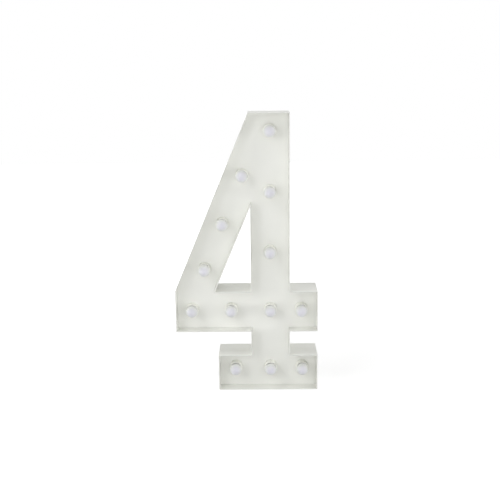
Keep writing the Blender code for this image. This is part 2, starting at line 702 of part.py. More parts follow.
def add_rocker(inlet, face, rocker_z):
    """The switch's rocker, resting on its off side, with its origin on its pivot; and its pocket."""
    tilt = math.radians(ROCKER_THROW_DEG / 2)
    pivot = Vector((INLET_X, face - ROCKER_PIVOT_DEPTH, rocker_z))
    swept = rocker_swept(tilt) + rocker_swept(-tilt)
    reach = max(x for x, _ in swept) + ROCKER_FIT
    depth = min(y for _, y in swept) - ROCKER_FIT
    half = ROCKER_WIDTH / 2 + ROCKER_FIT
    low = (pivot.x - reach, pivot.y + depth, rocker_z - half)
    high = (pivot.x + reach, face + OVERRUN, rocker_z + half)
    combine(inlet, cutter("rocker_pocket", box_mesh("rocker_pocket", low, high)), "DIFFERENCE")

    pin_half = ROCKER_WIDTH / 2 + PIVOT_PIN_LENGTH
    hole_half = pin_half + SEAT_GAP
    hole = circle(0.0, 0.0, PIVOT_PIN_DIAMETER / 2 + SEAT_GAP, PIN_SEGMENTS)
    ring = [(pivot.x + x, pivot.y + y, rocker_z - hole_half) for x, y in hole]
    mesh = prism_mesh("pivot_hole", ring, (0.0, 0.0, 2 * hole_half))
    combine(inlet, cutter("pivot_hole", mesh), "DIFFERENCE")

    ring = [(x, y, -ROCKER_WIDTH / 2) for x, y in rocker_swept(tilt)]
    mesh = prism_mesh("switch_rocker", ring, (0.0, 0.0, ROCKER_WIDTH))
    rocker = placed("switch_rocker", mesh, BLACK_PLASTIC, pivot)
    pin = circle(0.0, 0.0, PIVOT_PIN_DIAMETER / 2, PIN_SEGMENTS)
    ring = [(x, y, -pin_half) for x, y in pin]
    tool = cutter("pivot_pin", prism_mesh("pivot_pin", ring, (0.0, 0.0, 2 * pin_half)))
    tool.location = pivot
    combine(rocker, tool, "UNION")


def main():
    start_scene()
    add_walls(numeral_outline())
    add_walls(counter_outline())
    add_panel()
    add_blocks()
    add_bulbs()
    add_lampholders()
    add_cable()
    add_rear_cover()
    add_inlet()


main()
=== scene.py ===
# Looks of the light-up numeral four: finer bulbs, lampholders, inlet and screws, materials, light, camera
import math

import bmesh
import bpy
from mathutils import Matrix, Vector


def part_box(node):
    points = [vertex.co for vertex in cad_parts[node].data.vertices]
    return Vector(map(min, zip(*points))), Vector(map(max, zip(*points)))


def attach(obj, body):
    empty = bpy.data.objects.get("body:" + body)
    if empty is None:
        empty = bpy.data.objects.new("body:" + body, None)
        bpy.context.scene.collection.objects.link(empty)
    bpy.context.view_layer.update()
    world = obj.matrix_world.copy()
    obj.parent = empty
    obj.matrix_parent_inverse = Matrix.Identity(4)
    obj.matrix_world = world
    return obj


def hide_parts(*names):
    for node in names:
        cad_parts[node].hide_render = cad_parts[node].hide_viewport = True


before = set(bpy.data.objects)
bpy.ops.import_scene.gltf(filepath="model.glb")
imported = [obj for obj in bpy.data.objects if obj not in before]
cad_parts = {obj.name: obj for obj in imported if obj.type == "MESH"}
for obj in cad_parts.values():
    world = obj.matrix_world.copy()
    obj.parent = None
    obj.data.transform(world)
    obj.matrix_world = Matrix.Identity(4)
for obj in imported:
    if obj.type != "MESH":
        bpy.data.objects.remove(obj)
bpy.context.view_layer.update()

TRAY = "tray"
BULBS = [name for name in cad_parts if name.startswith("bulb_")]
HOLDERS = [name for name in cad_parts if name.startswith("lampholder_")]
BLOCKS = [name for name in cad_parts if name.startswith("block_")]

# Places read from the frame
NUMERAL_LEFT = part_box("wall_bar_left")[0].x
TRAY_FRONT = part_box("wall_foot_bottom")[0].y
COVER_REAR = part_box("rear_cover")[1].y
PANEL_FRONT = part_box("face_panel")[0].y
PANEL_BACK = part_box("face_panel")[1].y

# Camera: its place from the numeral's left and front edges and the floor, its turns, and its focal length
CAMERA_RIGHT = 0.3063
CAMERA_AHEAD = 2.837
CAMERA_HEIGHT = 1.1203
CAMERA_YAW_DEG = 0.75
CAMERA_PITCH_DEG = 11.91
CAMERA_ROLL_DEG = -0.63
FOCAL_PIXELS = 823.0
PHOTO_PIXELS = 500.0
SENSOR_WIDTH = 36.0

# Bulb: a globe on a short neck with an Edison screw cap
GLOBE_RADIUS = 0.0215
NECK_RADIUS = 0.0122
NECK_FILLET = 0.010
NECK_LENGTH = 0.0023
NECK_TUCK = 0.001
CAP_RADIUS = 0.0131
CAP_LENGTH = 0.0200
CAP_RISE = 0.0002
CAP_ROUNDING = 0.0004
CAP_NECK_GAP = 0.0001
CAP_ROWS = 52
INSULATOR_LENGTH = 0.0045
CONTACT_RADIUS = 0.00475
CONTACT_LENGTH = 0.0015
CONTACT_ROUNDING = 0.0007
CONTACT_TUCK = 0.0002
THREAD_PITCH = 0.0036
THREAD_DEPTH = 0.0009
FILLET_DROP = math.sqrt((GLOBE_RADIUS + NECK_FILLET) ** 2 - (NECK_RADIUS + NECK_FILLET) ** 2)
CAP_START = FILLET_DROP + NECK_LENGTH
SHELL_END = CAP_START + CAP_LENGTH
CAP_END = SHELL_END + INSULATOR_LENGTH + CONTACT_LENGTH

# The cap's plain bands over and under its thread, and rims, in from its radius and up from its shell's end
PLAIN_BANDS = (0.0030, 0.0012)
SHELL_ROLL = ((0.0012, 0.0), (0.0025, -0.0004), (0.0030, -0.0004), (0.0030, 0.0008))
INSULATOR_RIM = ((0.0031, -0.0002), (0.0034, -0.0010))

# The insulator's end, out from the contact's radius and up from the insulator's face
INSULATOR_END = ((0.0012, 0.0004), (0.0004, 0.0))

# Lampholder, with heights from the globe's centre. MOUTH_TAPER is in radii of the skirt's rounded lip.
SKIRT_DROP = 0.012
SKIRT_CLEARANCE = 0.005
SKIRT_SEAT = 0.004
SKIRT_FOOT = 0.0006
MOUTH_WALL = 0.0035
MOUTH_TAPER = 2.6
THROAT_WALL = 0.002
THROAT_FILLET = 0.003
THREAD_FIT = 0.0006
BORE_ROUNDING = 0.0006
SEAT_GAP = 0.0003
HOLDER_BASE = 0.006
HOLDER_ROUNDING = 0.0008
BEAD_RISE = 0.0015
BEAD_LENGTH = 0.0030
CABLE_CHANNEL = 0.0056
SADDLE_RADIUS = 0.015
SADDLE_ROUNDING = 0.0006
SKIRT_RADIUS = math.sqrt(GLOBE_RADIUS**2 - SKIRT_DROP**2) + SKIRT_CLEARANCE
MOUTH_RADIUS = SKIRT_RADIUS - MOUTH_WALL
THROAT_RADIUS = SKIRT_RADIUS - THROAT_WALL
HOLDER_RADIUS = SKIRT_RADIUS - SKIRT_SEAT
BORE_RADIUS = CAP_RADIUS + THREAD_FIT

# The lampholder's shell, between plain bands of its bore, and its contact as (radius, height over the floor)
SHELL_BANDS = (0.0015, 0.004)
SHELL_SLACK = 0.00005
SHELL_THREAD_DEPTH = 0.0003
SHELL_EDGE = 0.0008
SHELL_ROWS = 44
SPRING_CONTACT = ((0.0, 0.0009), (0.0030, 0.0007), (0.0044, 0.0002), (0.0044, 0.0))

# Screws of the rear cover. SCREW_HEAD_EDGE is the share of its height that the head has at its edge.
SCREW_HEAD_RADIUS = 0.0039
SCREW_HEAD_HEIGHT = 0.0026
SCREW_HEAD_EDGE = 0.45
SCREW_HEAD_STEPS = (0.2, 0.4, 0.6, 0.75, 0.88, 0.96, 1.0)
SCREW_SHANK_RADIUS = 0.0011
SCREW_LENGTH = 0.025
SCREW_PITCH = 0.0018
SCREW_THREAD_DEPTH = 0.0007
SCREW_THREAD_RUN_IN = 0.004
SCREW_THREAD_END = -SCREW_LENGTH * 0.93
SCREW_ROWS = 70
RECESS_SIZE = (0.0044, 0.0009, 0.0030)
SCREW_TURN_DEG = 37.0

# Power inlet: a socket for three flat pins under the pocket of the switch's rocker
FLANGE_MARGIN = 0.0018
FLANGE_THICKNESS = 0.0025
FLANGE_CORNER = 0.0025
BODY_CORNER = 0.001
SOCKET_WIDTH = 0.0244
SOCKET_HEIGHT = 0.0164
SOCKET_CHAMFER = 0.004
SOCKET_CORNERS = (0.0015, 0.001)
SOCKET_DEPTH = 0.016
INLET_END_WALL = 0.0045
PIN_SIZE = (0.0020, 0.0135, 0.0040)
PIN_PLACES = {"left": (-0.007, -0.002), "middle": (0.0, 0.002), "right": (0.007, -0.002)}
PIN_TAPER = 0.00072
PIN_SEAT = 0.001
ROCKER_WIDTH = 0.013
ROCKER_ROUNDING = 0.0004
POCKET_SLACK = 0.0005
POCKET_CORNER = 0.0004
POCKET_FLOOR_GAP = 0.0006
PIVOT_DEPTH = 0.003
PIVOT_BORE_RADIUS = 0.0015
PIVOT_BORE_SIDES = 16
HOUSING_EDGE = 0.0003
HOUSING_EDGE_ANGLE_DEG = 40.0

# Meshes: SMOOTH_ANGLE_DEG is the least angle that stays sharp, and TO_FRONT the turn of Z to the front
GLOBE_SEGMENTS = 96
THREAD_SEGMENTS = 64
SEGMENTS = 48
SMALL_SEGMENTS = 24
CORNERS = ((-1, -1), (1, -1), (1, 1), (-1, 1))
CORNER_STEPS = 5
SMOOTH_ANGLE_DEG = 35.0
OVERRUN = 0.001
TO_FRONT = math.pi / 2

# Colours. The rim's painted shade fades in, and its wear reaches, over depths behind the tray's front, and
# the globe's painted shading towards its pole starts in radii.
PAINT_COLOUR = (0.86, 0.865, 0.825)
PRIMER_COLOUR = (0.70, 0.685, 0.64)
# Painted shade: the front rim's paint is darkened by this share over this fade, so the rim looks no brighter
# than the panel
RIM_SHADE_TINT = 0.88
RIM_SHADE_FADE = (0.0003, 0.0015)
WEAR_DEPTH = 0.0014
# Painted light and shade on the globe: a lighter, cooler front pole and darker, warmer sides
GLOBE_LIT_POLE_COLOUR = (0.677, 0.674, 0.718)
GLOBE_SHADED_SIDE_COLOUR = (0.655, 0.662, 0.642)
GLOBE_LIT_POLE_START = 0.48
GLOBE_SCATTER = (0.020, 0.020, 0.021)
PINE_COLOUR = (0.66, 0.49, 0.30)
RING_COLOUR = (0.50, 0.33, 0.17)
SHEATH_COLOUR = (0.70, 0.70, 0.68)
FLOOR_COLOUR = (0.82, 0.82, 0.82)

# The range that most of a noise's values lie in
NOISE_MIDDLE = (0.3, 0.7)

# Light: an even level from all round, and soft lights as azimuth to the right, height angle, width and power
NUMERAL_MIDDLE = Vector((0.0, 0.0, 0.5))
LIGHT_DISTANCE = 3.2
AMBIENT = 0.33
LIGHTS = {
    "left_side": (-75.0, 4.0, 0.9, 20.0),
    "right_side": (75.0, 4.0, 0.9, 30.0),
    "front": (0.0, 0.0, 1.0, 8.5),
    "right_front": (20.0, 6.0, 0.9, 6.0),
    "left_low": (-35.0, 8.0, 0.9, 7.0),
    "left_front": (-35.0, 24.0, 0.9, 9.0),
    "left_high": (-60.0, 50.0, 1.4, 21.0),
    "right_high": (45.0, 50.0, 1.4, 5.5),
    "front_high": (0.0, 25.0, 1.2, 4.0),
    "back_high": (180.0, 60.0, 1.5, 13.5),
    "back_left": (-140.0, 1.0, 0.9, 16.0),
    "back_right": (140.0, 1.0, 0.9, 16.0),
}

# Floor: half its width, and its lift towards white, which grows to full over distances from the numeral
FLOOR_HALF = 8.0
FLOOR_LIFT = 0.40
LIFT_REACH = (0.6, 2.4)


def linked(name, mesh, material=None, location=(0.0, 0.0, 0.0), turn=(0.0, 0.0, 0.0)):
    """An object in the scene, with one material unless it is only a tool."""
    obj = bpy.data.objects.new(name, mesh)
    obj.location = location
    obj.rotation_euler = turn
    if material and not mesh.materials:
        mesh.materials.append(material)
    bpy.context.scene.collection.objects.link(obj)
    return obj


def smooth(mesh):
    """Smooth shading that keeps edges sharper than an angle."""
    mesh.shade_smooth()
    mesh.set_sharp_from_angle(angle=math.radians(SMOOTH_ANGLE_DEG))
    return mesh


def turned(name, profile, segments=SEGMENTS, thread=None):
    """A turned mesh about Z from (radius, height) points. thread(height, angle) adds to the radius."""
    vertices, faces, rings = [], [], []
    for radius, height in profile:
        if radius == 0.0:
            rings.append([len(vertices)] * segments)
            vertices.append((0.0, 0.0, height))
            continue
        rings.append(list(range(len(vertices), len(vertices) + segments)))
        for i in range(segments):
            angle = 2 * math.pi * i / segments
            r = radius + (thread(height, angle) if thread else 0.0)
            vertices.append((r * math.cos(angle), r * math.sin(angle), height))
    for upper, lower in zip(rings, rings[1:]):
        for i in range(segments):
            j = (i + 1) % segments
            corners = [upper[i], lower[i], lower[j], upper[j]]
            face = list(dict.fromkeys(corners))
            if len(face) > 2:
                faces.append(face)
    mesh = bpy.data.meshes.new(name)
    mesh.from_pydata(vertices, [], faces)
    mesh.update()
    return smooth(mesh)


def arc(centre, radius, start_deg, end_deg, steps):
    """Points of an arc in the (radius, height) plane."""
    points = []
    for i in range(steps + 1):
        angle = math.radians(start_deg + (end_deg - start_deg) * i / steps)
        points.append((centre[0] + radius * math.cos(angle), centre[1] + radius * math.sin(angle)))
    return points


def lower_rounding(radius, height, rounding):
    """Points of the rounded lower edge of a cylinder."""
    return arc((radius - rounding, height + rounding), rounding, 0.0, -90.0, 3)


def column(radius, start, end, rows):
    """Points down a straight side, close enough together to carry a thread."""
    return [(radius, start + (end - start) * i / rows) for i in range(rows + 1)]


def thread_wave(pitch, depth, start, end):
    """A rounded helical thread that fades out towards both ends."""
    def rise(height, angle):
        turns = height / pitch - angle / (2 * math.pi)
        fade = min(1.0, (height - end) / pitch, (start - height) / pitch)
        return 0.0 if fade <= 0.0 else -depth * fade * (0.5 - 0.5 * math.cos(2 * math.pi * turns))
    return rise


def mesh_of(name, shape):
    """The mesh of a finished bmesh."""
    mesh = bpy.data.meshes.new(name)
    shape.to_mesh(mesh)
    shape.free()
    return mesh


def add_box(shape, size, centre):
    """A box in a bmesh, as its corners."""
    corners = bmesh.ops.create_cube(shape, size=1.0)["verts"]
    bmesh.ops.scale(shape, vec=size, verts=corners)
    bmesh.ops.translate(shape, vec=centre, verts=corners)
    return corners


def prism(name, ring, along):
    """A closed prism over a ring of points, as an object."""
    shape = bmesh.new()
    face = shape.faces.new([shape.verts.new(point) for point in ring])
    pushed = bmesh.ops.extrude_face_region(shape, geom=[face])["geom"]
    moved = [v for v in pushed if isinstance(v, bmesh.types.BMVert)]
    bmesh.ops.translate(shape, vec=along, verts=moved)
    bmesh.ops.recalc_face_normals(shape, faces=shape.faces)
    return linked(name, mesh_of(name, shape))


def slab(name, outline, near, far):
    """A closed prism in Y over an (x, z) outline, from near to far."""
    return prism(name, [(x, near, z) for x, z in outline], (0.0, far - near, 0.0))


def combine(whole, tool, operation, crossing=False):
    """A boolean with a tool. crossing says that the tool's own parts cross each other."""
    boolean = whole.modifiers.new(tool.name, "BOOLEAN")
    boolean.operation = operation
    boolean.solver = "EXACT"
    boolean.use_self = crossing
    boolean.object = tool


def bevelled(whole, width):
    """A small bevel on an object's sharp edges, as its modifier."""
    bevel = whole.modifiers.new("edges", "BEVEL")
    bevel.width = width
    bevel.segments = 2
    bevel.limit_method = "ANGLE"
    return bevel


def baked(whole, tools):
    """The smooth mesh of an object with its modifiers applied. The object and its tools are removed."""
    graph = bpy.context.evaluated_depsgraph_get()
    graph.update()
    mesh = bpy.data.meshes.new_from_object(whole.evaluated_get(graph))
    for obj in (whole, *tools):
        bpy.data.objects.remove(obj)
    return smooth(mesh)


class Graph:
    """Nodes of one material, made and linked by short calls."""

    def __init__(self, name, colour, roughness, **sockets):
        """The shader, with values that hold until nodes are linked in their place."""
        self.material = bpy.data.materials.new(name)
        self.material.use_nodes = True
        self.tree = self.material.node_tree
        self.shader = self.tree.nodes["Principled BSDF"]
        self.shader.inputs["Base Color"].default_value = (*colour, 1.0)
        self.shader.inputs["Roughness"].default_value = roughness
        for socket, value in sockets.items():
            self.shader.inputs[socket.replace("_", " ")].default_value = value
        self.place = self.node("ShaderNodeTexCoord").outputs["Object"]

    def node(self, kind, **values):
        """A node with its settings."""
        made = self.tree.nodes.new(kind)
        for key, value in values.items():
            setattr(made, key, value)
        return made

    def link(self, output, socket):
        """A link between two sockets."""
        self.tree.links.new(output, socket)

    def stretched(self, scale):
        """The place, scaled along its axes."""
        mapping = self.node("ShaderNodeMapping")
        mapping.inputs["Scale"].default_value = scale
        self.link(self.place, mapping.inputs["Vector"])
        return mapping.outputs["Vector"]

    def noise(self, scale, detail, roughness, stretch=None, distortion=0.0):
        """A noise field over the object, its scale in cells a metre."""
        made = self.node("ShaderNodeTexNoise")
        made.inputs["Scale"].default_value = scale
        made.inputs["Detail"].default_value = detail
        made.inputs["Roughness"].default_value = roughness
        made.inputs["Distortion"].default_value = distortion
        self.link(self.stretched(stretch) if stretch else self.place, made.inputs["Vector"])
        return made.outputs["Fac"]

    def spread(self, value, low, high, to_low=0.0, to_high=1.0):
        """A value mapped from one range to another, and held inside it."""
        made = self.node("ShaderNodeMapRange")
        self.link(value, made.inputs["Value"])
        made.inputs["From Min"].default_value = low
        made.inputs["From Max"].default_value = high
        made.inputs["To Min"].default_value = to_low
        made.inputs["To Max"].default_value = to_high
        return made.outputs["Result"]

    def clouds(self, scale, detail, roughness, to_low=0.0, to_high=1.0, distortion=0.0):
        """A noise field whose middle values are mapped to a range."""
        noise = self.noise(scale, detail, roughness, distortion=distortion)
        return self.spread(noise, *NOISE_MIDDLE, to_low, to_high)

    def multiplied(self, a, b):
        """Two values multiplied."""
        made = self.node("ShaderNodeMath", operation="MULTIPLY")
        self.link(a, made.inputs[0])
        self.link(b, made.inputs[1])
        return made.outputs["Value"]

    def blend(self, share, first, second):
        """Two colours mixed by a share, each a colour or an output."""
        made = self.node("ShaderNodeMix", data_type="RGBA")
        self.link(share, made.inputs["Factor"])
        for name, colour in (("A", first), ("B", second)):
            socket = [s for s in made.inputs if s.name == name and s.type == "RGBA"][0]
            if isinstance(colour, tuple):
                socket.default_value = (*colour, 1.0)
            else:
                self.link(colour, socket)
        return [s for s in made.outputs if s.type == "RGBA"][0]

    def axis(self, name):
        """One coordinate of the place."""
        made = self.node("ShaderNodeSeparateXYZ")
        self.link(self.place, made.inputs["Vector"])
        return made.outputs[name]

    def colour(self, output):
        """The surface's colour."""
        self.link(output, self.shader.inputs["Base Color"])

    def roughness(self, output):
        """The surface's roughness."""
        self.link(output, self.shader.inputs["Roughness"])

    def bump(self, height, distance, strength, under=None):
        """Bump from a height field, whose full range stands for the distance in metres."""
        made = self.node("ShaderNodeBump")
        made.inputs["Strength"].default_value = strength
        made.inputs["Distance"].default_value = distance
        self.link(height, made.inputs["Height"])
        if under:
            self.link(under, made.inputs["Normal"])
        self.link(made.outputs["Normal"], self.shader.inputs["Normal"])
        return made.outputs["Normal"]


def tinted(colour, factor):
    """A colour made lighter or darker."""
    return tuple(channel * factor for channel in colour)


def painted_board(name, edge_y):
    """Satin paint rolled on smooth board: soft mottling and roller stipple, a band of painted shade that
    greys the front rim, and speckled wear showing primer at its edge.
    """
    g = Graph(name, PAINT_COLOUR, 0.5, Specular_IOR_Level=0.4)
    mottle = g.clouds(9.0, 4.0, 0.6)
    colour = g.blend(mottle, tinted(PAINT_COLOUR, 0.985), tinted(PAINT_COLOUR, 1.01))
    if edge_y is not None:
        # Painted shade: a darker band along the front rim, fading out behind it
        rim = g.spread(g.axis("Y"), edge_y + RIM_SHADE_FADE[0], edge_y + RIM_SHADE_FADE[1], to_low=1.0, to_high=0.0)
        colour = g.blend(rim, colour, tinted(PAINT_COLOUR, RIM_SHADE_TINT))
        near_edge = g.spread(g.axis("Y"), edge_y, edge_y + WEAR_DEPTH, to_low=1.0, to_high=0.0)
        speckle = g.spread(g.noise(260.0, 4.0, 0.65), 0.60, 0.66, to_high=0.6)
        colour = g.blend(g.multiplied(near_edge, speckle), colour, PRIMER_COLOUR)
    g.colour(colour)
    g.roughness(g.clouds(45.0, 4.0, 0.6, to_low=0.44, to_high=0.58))
    rolled = g.bump(g.noise(60.0, 2.0, 0.5), distance=0.00015, strength=0.5)
    g.bump(g.noise(700.0, 2.0, 0.5), distance=0.00006, strength=0.6, under=rolled)
    return g.material


def milky_globe():
    """Opal globe: a soft sheen over a milky body, with painted light and shade: lighter and cooler round its
    front pole, darker and warmer at its sides as if reflecting the walls.
    """
    g = Graph("milky_globe", GLOBE_LIT_POLE_COLOUR, 0.30, Specular_IOR_Level=0.15, Subsurface_Weight=1.0,
              Subsurface_Radius=GLOBE_SCATTER, Subsurface_Scale=1.0)
    # Painted light and shade: the colour runs from the darker, warmer sides to the lighter, cooler front
    # pole
    pole_light_share = g.spread(g.axis("Z"), GLOBE_LIT_POLE_START * GLOBE_RADIUS, GLOBE_RADIUS)
    thin, thick = (g.blend(pole_light_share, tinted(GLOBE_SHADED_SIDE_COLOUR, factor), tinted(GLOBE_LIT_POLE_COLOUR, factor))
                   for factor in (0.985, 1.015))
    g.colour(g.blend(g.clouds(70.0, 3.0, 0.5), thin, thick))
    g.roughness(g.spread(g.noise(60.0, 1.0, 0.5), 0.2, 0.8, to_low=0.29, to_high=0.34))
    return g.material


def moulded(name, colour, roughness, grain_scale, grain_depth):
    """Moulded plastic with a fine spark-eroded grain and faint flow marks."""
    g = Graph(name, colour, roughness, Specular_IOR_Level=0.45)
    flow = g.clouds(38.0, 3.0, 0.55, distortion=0.6)
    g.colour(g.blend(flow, tinted(colour, 0.97), tinted(colour, 1.02)))
    g.roughness(g.clouds(180.0, 3.0, 0.6, to_low=roughness - 0.06, to_high=roughness + 0.07))
    g.bump(g.noise(grain_scale, 2.0, 0.5), distance=grain_depth, strength=0.7)
    return g.material


def plated(name, colour, roughness, tarnish):
    """Plated metal, dulled in patches and finely scratched round its axis."""
    g = Graph(name, colour, roughness, Metallic=1.0)
    patch = g.spread(g.noise(160.0, 4.0, 0.6), 0.48, 0.7)
    g.colour(g.blend(patch, colour, tinted(colour, tarnish)))
    g.roughness(g.clouds(300.0, 3.0, 0.6, to_low=roughness - 0.08, to_high=roughness + 0.12))
    g.bump(g.noise(900.0, 2.0, 0.5, stretch=(1.0, 1.0, 6.0)), distance=0.00003, strength=0.5)
    return g.material


def softwood():
    """Planed pine: growth rings drawn out along the block, with pores and slight fuzz."""
    g = Graph("softwood", PINE_COLOUR, 0.7, Specular_IOR_Level=0.25)
    rings = g.node("ShaderNodeTexWave", wave_type="BANDS", bands_direction="DIAGONAL")
    rings.inputs["Scale"].default_value = 90.0
    rings.inputs["Distortion"].default_value = 5.0
    rings.inputs["Detail"].default_value = 3.0
    rings.inputs["Detail Scale"].default_value = 0.8
    g.link(g.stretched((1.0, 0.12, 1.0)), rings.inputs["Vector"])
    fibre = g.noise(600.0, 3.0, 0.6, stretch=(1.0, 0.05, 1.0))
    grain = g.multiplied(rings.outputs["Fac"], g.spread(fibre, *NOISE_MIDDLE, to_low=0.6))
    g.colour(g.blend(grain, PINE_COLOUR, RING_COLOUR))
    g.roughness(g.spread(fibre, *NOISE_MIDDLE, to_low=0.62, to_high=0.78))
    g.bump(grain, distance=0.0001, strength=0.5)
    return g.material


def cable_sheath():
    """Soft PVC sheath, scuffed and faintly uneven."""
    g = Graph("cable_sheath", SHEATH_COLOUR, 0.5)
    scuff = g.spread(g.noise(120.0, 4.0, 0.6), 0.5, 0.75)
    g.colour(g.blend(scuff, SHEATH_COLOUR, tinted(SHEATH_COLOUR, 0.9)))
    g.roughness(g.clouds(240.0, 3.0, 0.6, to_low=0.42, to_high=0.6))
    g.bump(g.noise(500.0, 2.0, 0.5), distance=0.00005, strength=0.5)
    return g.material


FRONT_PAINT = painted_board("painted_board", TRAY_FRONT)
PLAIN_PAINT = painted_board("painted_sheet", None)
MILKY = milky_globe()
WHITE_PLASTIC = moulded("white_plastic", (0.86, 0.865, 0.805), 0.45, grain_scale=1500.0, grain_depth=0.00002)
BLACK_PLASTIC = moulded("black_plastic", (0.03, 0.03, 0.03), 0.42, grain_scale=1300.0, grain_depth=0.00003)
INSULATOR = moulded("black_glass", (0.02, 0.018, 0.022), 0.2, grain_scale=400.0, grain_depth=0.00001)
NICKEL = plated("nickel_plate", (0.72, 0.70, 0.66), 0.30, tarnish=0.8)
BRASS = plated("brass", (0.78, 0.60, 0.33), 0.32, tarnish=0.7)
ZINC = plated("zinc_plate", (0.62, 0.64, 0.66), 0.34, tarnish=0.75)
SOLDER = plated("solder", (0.60, 0.60, 0.60), 0.45, tarnish=0.8)
SOFTWOOD = softwood()
SHEATH = cable_sheath()


def on_axis(node):
    """Where a bulb's globe has its centre, given the node of the bulb or of its lampholder."""
    low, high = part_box(node)
    centre_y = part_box(node.replace("lampholder_", "bulb_"))[0].y + GLOBE_RADIUS
    return Vector(((low.x + high.x) / 2, centre_y, (low.z + high.z) / 2))


def dress_frame():
    """Materials of the CAD nodes. Those that finer pieces replace get one too, and aren't shown."""
    for name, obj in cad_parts.items():
        if name.startswith("wall_"):
            material = FRONT_PAINT
        elif name in ("face_panel", "rear_cover"):
            material = PLAIN_PAINT
        elif name.startswith("block_"):
            material = SOFTWOOD
        elif name == "wiring_cable":
            material = SHEATH
        else:
            material = BLACK_PLASTIC
        for slot in obj.material_slots:
            slot.material = material


def globe_mesh():
    """The globe and its neck, down to the cap."""
    reach = math.degrees(math.atan2(NECK_RADIUS + NECK_FILLET, FILLET_DROP))
    points = [(0.0, GLOBE_RADIUS)]
    points += arc((0.0, 0.0), GLOBE_RADIUS, 90.0, reach - 90.0, 44)[1:]
    points += arc((NECK_RADIUS + NECK_FILLET, -FILLET_DROP), NECK_FILLET, 90.0 + reach, 180.0, 6)[1:]
    points += [(NECK_RADIUS, -CAP_START - NECK_TUCK), (0.0, -CAP_START - NECK_TUCK)]
    return turned("globe", points, GLOBE_SEGMENTS)


def cap_shell_mesh():
    """The cap's threaded metal shell."""
    top = CAP_RISE - CAP_START
    start, end = -CAP_START - PLAIN_BANDS[0], PLAIN_BANDS[1] - SHELL_END
    points = [(NECK_RADIUS + CAP_NECK_GAP, top), (CAP_RADIUS - CAP_ROUNDING, top)]
    points += arc((CAP_RADIUS - CAP_ROUNDING, top - CAP_ROUNDING), CAP_ROUNDING, 90.0, 0.0, 4)
    points += column(CAP_RADIUS, start, end, CAP_ROWS)
    points += [(CAP_RADIUS - inward, up - SHELL_END) for inward, up in SHELL_ROLL]
    thread = thread_wave(THREAD_PITCH, THREAD_DEPTH, start, end)
    return turned("screw_shell", points, THREAD_SEGMENTS, thread)


def insulator_mesh():
    """The cap's glass insulator, between the shell and the end contact."""
    face = CONTACT_LENGTH - CAP_END
    points = [(CAP_RADIUS - inward, up - SHELL_END) for inward, up in INSULATOR_RIM]
    points += [(CONTACT_RADIUS + outward, face + up) for outward, up in INSULATOR_END]
    return turned("cap_insulator", points + [(0.0, face)])


def cap_contact_mesh():
    """The cap's end contact, rounded at its edge."""
    side = CONTACT_ROUNDING - CAP_END
    points = [(CONTACT_RADIUS, CONTACT_LENGTH - CAP_END + CONTACT_TUCK), (CONTACT_RADIUS, side)]
    points += arc((CONTACT_RADIUS - CONTACT_ROUNDING, side), CONTACT_ROUNDING, 0.0, -90.0, 4)[1:]
    return turned("cap_contact", points + [(0.0, -CAP_END)])


def add_bulbs():
    """Bulbs whose globe, screw shell, insulator and contact are separate pieces of the bulb's body."""
    globe, shell, insulator, contact = globe_mesh(), cap_shell_mesh(), insulator_mesh(), cap_contact_mesh()
    turn = (TO_FRONT, 0.0, 0.0)
    for node in BULBS:
        name, place = node.removeprefix("bulb_"), on_axis(node)
        pieces = [linked("globe_" + name, globe, MILKY, place, turn),
                  linked("screw_shell_" + name, shell, NICKEL, place, turn),
                  linked("cap_insulator_" + name, insulator, INSULATOR, place, turn),
                  linked("cap_contact_" + name, contact, SOLDER, place, turn)]
        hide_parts(node)
        for piece in pieces:
            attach(piece, node)


def holder_headings():
    """How far each lampholder's saddle is turned about its axis, so that it lies along the cable."""
    low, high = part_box("wall_diagonal")
    lean = math.pi / 2 - math.atan2(high.x - low.x, high.z - low.z)
    headings = dict.fromkeys(HOLDERS, 0.0)
    for name in HOLDERS:
        if "diagonal" in name:
            headings[name] = lean
        elif "stem" in name:
            headings[name] = math.pi / 2
    return headings


